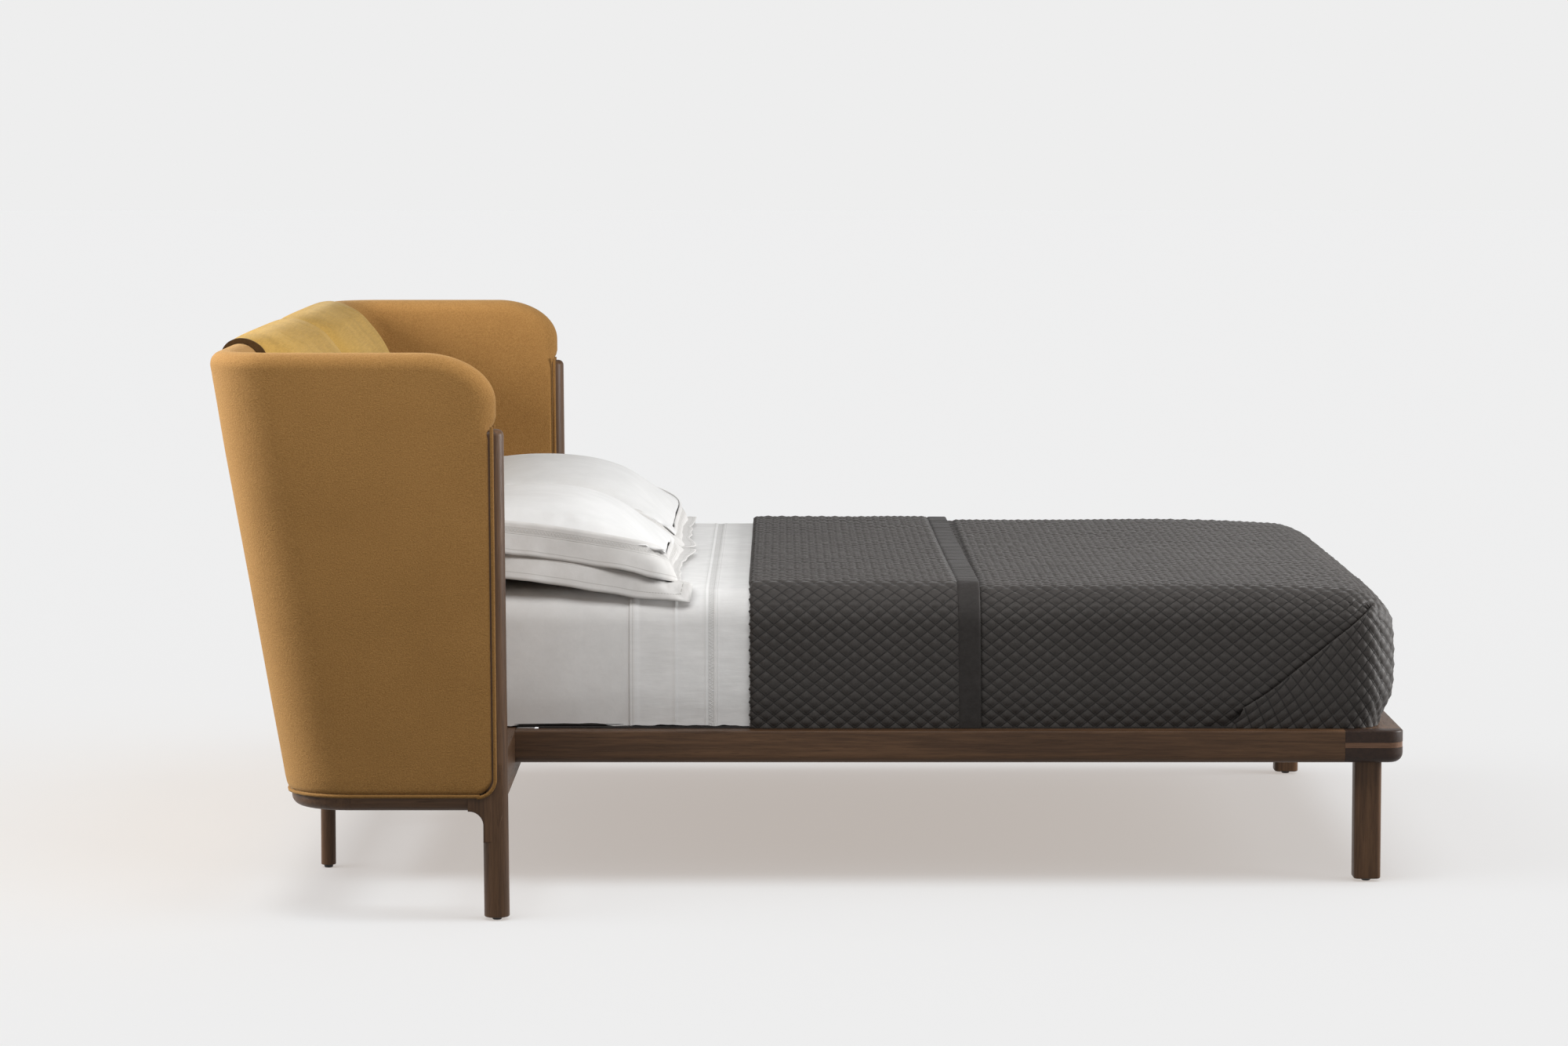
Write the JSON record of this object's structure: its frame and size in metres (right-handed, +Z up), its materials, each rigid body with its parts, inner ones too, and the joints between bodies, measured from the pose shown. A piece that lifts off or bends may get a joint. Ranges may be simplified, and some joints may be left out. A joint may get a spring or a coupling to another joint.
{
  "type": "platform bed",
  "caption": "Low walnut platform bed with a tall wrap-around upholstered headboard, cushions draped over its back, and made-up bedding.",
  "frame": {"origin": "on the floor, below the centre of the bed's overall box", "axes": "+X from the headboard to the foot of the bed, +Y to the sleeper's left, +Z up"},
  "size_m": [2.341, 2.508, 1.0944],
  "materials": {
    "walnut": "oiled dark walnut, satin",
    "poplar": "sanded, unvarnished",
    "bracket_steel": "zinc plated",
    "ochre_wool": "felted wool cloth",
    "olive_velvet": "short-pile cotton velvet",
    "ticking": "knitted mattress cover",
    "white_cotton": "washed percale with drawn-thread stitching",
    "charcoal_quilting": "satin, diamond quilted",
    "glide_nylon": "moulded nylon"
  },
  "bodies": {
    "bed_frame": {"left_front_post": "walnut", "right_front_post": "walnut", "left_base_rail": "walnut", "right_base_rail": "walnut", "left_base_corner": "walnut", "right_base_corner": "walnut", "left_rear_leg": "walnut", "right_rear_leg": "walnut", "left_side_rail": "walnut", "right_side_rail": "walnut", "left_foot_leg": "walnut", "right_foot_leg": "walnut", "rear_base_rail": "walnut", "headboard_cross_beam": "walnut", "foot_rail": "walnut", "left_slat_ledger": "poplar", "right_slat_ledger": "poplar", "left_head_bearer": "poplar", "right_head_bearer": "poplar", "centre_rail": "poplar", "centre_bearer": "poplar", "slat_01": "poplar", "slat_02": "poplar", "slat_03": "poplar", "slat_04": "poplar", "slat_05": "poplar", "slat_06": "poplar", "slat_07": "poplar", "slat_08": "poplar", "slat_09": "poplar", "slat_10": "poplar", "slat_11": "poplar", "slat_12": "poplar", "slat_13": "poplar", "left_rail_bracket": "bracket_steel", "right_rail_bracket": "bracket_steel", "left_wing_panel": "ochre_wool", "right_wing_panel": "ochre_wool", "left_corner_panel": "ochre_wool", "right_corner_panel": "ochre_wool", "back_panel": "ochre_wool"},
    "left_back_cushion": {"left_back_cushion": "olive_velvet"},
    "right_back_cushion": {"right_back_cushion": "olive_velvet"},
    "mattress_set": {"mattress": "ticking", "fitted_sheet": "white_cotton", "top_sheet": "white_cotton", "coverlet": "charcoal_quilting"},
    "left_lower_pillow": {"left_lower_pillow": "white_cotton"},
    "right_lower_pillow": {"right_lower_pillow": "white_cotton"},
    "left_upper_pillow": {"left_upper_pillow": "white_cotton"},
    "right_upper_pillow": {"right_upper_pillow": "white_cotton"},
    "left_post_glide": {"left_post_glide": "glide_nylon"},
    "right_post_glide": {"right_post_glide": "glide_nylon"},
    "left_rear_glide": {"left_rear_glide": "glide_nylon"},
    "right_rear_glide": {"right_rear_glide": "glide_nylon"},
    "left_foot_glide": {"left_foot_glide": "glide_nylon"},
    "right_foot_glide": {"right_foot_glide": "glide_nylon"}
  },
  "joints": [
    {"name": "left_back_cushion_lift", "type": "slide", "parent": "bed_frame", "child": "left_back_cushion", "axis": [-0.1702, 0, 0.9854], "range_m": [0, 0.25]},
    {"name": "right_back_cushion_lift", "type": "slide", "parent": "bed_frame", "child": "right_back_cushion", "axis": [-0.1702, 0, 0.9854], "range_m": [0, 0.25]},
    {"name": "mattress_lift", "type": "slide", "parent": "bed_frame", "child": "mattress_set", "axis": [0, 0, 1], "range_m": [0, 0.4]},
    {"name": "left_lower_pillow_lift", "type": "slide", "parent": "mattress_set", "child": "left_lower_pillow", "axis": [0, 0, 1], "range_m": [0, 0.3]},
    {"name": "left_upper_pillow_lift", "type": "slide", "parent": "left_lower_pillow", "child": "left_upper_pillow", "axis": [0, 0, 1], "range_m": [0, 0.3]},
    {"name": "right_lower_pillow_lift", "type": "slide", "parent": "mattress_set", "child": "right_lower_pillow", "axis": [0, 0, 1], "range_m": [0, 0.3]},
    {"name": "right_upper_pillow_lift", "type": "slide", "parent": "right_lower_pillow", "child": "right_upper_pillow", "axis": [0, 0, 1], "range_m": [0, 0.3]},
    {"name": "left_post_glide_screw", "type": "slide", "parent": "bed_frame", "child": "left_post_glide", "axis": [0, 0, -1], "range_m": [0, 0.012]},
    {"name": "right_post_glide_screw", "type": "slide", "parent": "bed_frame", "child": "right_post_glide", "axis": [0, 0, -1], "range_m": [0, 0.012]},
    {"name": "left_rear_glide_screw", "type": "slide", "parent": "bed_frame", "child": "left_rear_glide", "axis": [0, 0, -1], "range_m": [0, 0.012]},
    {"name": "right_rear_glide_screw", "type": "slide", "parent": "bed_frame", "child": "right_rear_glide", "axis": [0, 0, -1], "range_m": [0, 0.012]},
    {"name": "left_foot_glide_screw", "type": "slide", "parent": "bed_frame", "child": "left_foot_glide", "axis": [0, 0, -1], "range_m": [0, 0.012]},
    {"name": "right_foot_glide_screw", "type": "slide", "parent": "bed_frame", "child": "right_foot_glide", "axis": [0, 0, -1], "range_m": [0, 0.012]}
  ]
}
